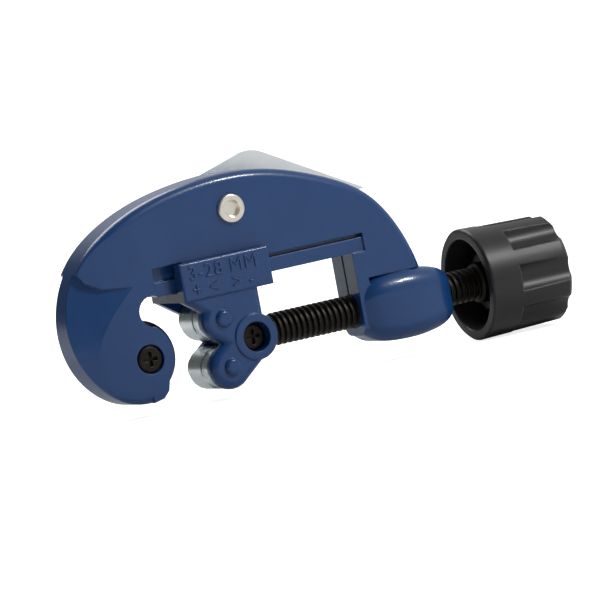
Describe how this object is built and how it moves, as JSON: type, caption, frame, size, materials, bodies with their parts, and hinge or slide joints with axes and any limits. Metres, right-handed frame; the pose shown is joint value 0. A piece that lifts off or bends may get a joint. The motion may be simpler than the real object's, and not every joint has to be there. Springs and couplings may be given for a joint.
{
  "type": "pipe cutter",
  "caption": "Hand pipe cutter: arched C frame with a cutter wheel in its hook, a roller carriage on a rail, a screw spindle with a fluted knob and a folding reamer blade.",
  "frame": {"origin": "where the spindle axis crosses the cutter wheel's axis, midway through the casting", "axes": "+X along the spindle towards the knob, +Z from the spindle up to the arch, +Y from the front face to the reamer's side"},
  "size_m": [0.1297, 0.0272, 0.0562],
  "materials": {
    "blue_enamel": "gloss",
    "black_oxide": "satin",
    "bright_zinc": "bright",
    "bare_steel": "ground",
    "nickel": "polished",
    "black_plastic": "satin"
  },
  "bodies": {
    "frame": {"frame_casting": "blue_enamel", "wheel_screw": "black_oxide", "reamer_rivet": "nickel", "reamer_washer": "bare_steel"},
    "wheel": {"cutter_wheel": "black_oxide"},
    "reamer": {"reamer_blade": "bare_steel"},
    "carriage": {"carriage_front": "blue_enamel", "carriage_rear": "blue_enamel", "carriage_screw": "black_oxide", "roller_axle_upper": "bare_steel", "roller_axle_lower": "bare_steel", "thrust_disc": "bare_steel"},
    "upper_roller": {"roller_upper": "bright_zinc"},
    "lower_roller": {"roller_lower": "bright_zinc"},
    "screw": {"spindle": "black_oxide", "knob": "black_plastic", "knob_insert": "black_oxide", "knob_washer": "bright_zinc", "knob_screw": "bright_zinc"}
  },
  "joints": [
    {"name": "carriage_slide", "type": "slide", "parent": "frame", "child": "carriage", "axis": [1, 0, 0], "range_m": [-0.0055, 0.0223]},
    {"name": "spindle_turn", "type": "hinge", "parent": "carriage", "child": "screw", "pos_m": [0, 0, 0], "axis": [1, 0, 0], "range_deg": [-1320, 5352]},
    {"name": "wheel_spin", "type": "hinge", "parent": "frame", "child": "wheel", "pos_m": [0, 0, 0], "axis": [0, 1, 0], "continuous": true},
    {"name": "upper_roller_spin", "type": "hinge", "parent": "carriage", "child": "upper_roller", "pos_m": [0.0195, 0, 0.00585], "axis": [0, 1, 0], "continuous": true},
    {"name": "lower_roller_spin", "type": "hinge", "parent": "carriage", "child": "lower_roller", "pos_m": [0.0195, 0, -0.00585], "axis": [0, 1, 0], "continuous": true},
    {"name": "reamer_fold", "type": "hinge", "parent": "frame", "child": "reamer", "pos_m": [0.0278, 0, 0.0309], "axis": [0, -1, 0], "range_deg": [0, 150]}
  ],
  "couplings": [
    {"joint": "spindle_turn", "follows": "carriage_slide", "rad_per_m": 4188.8}
  ]
}
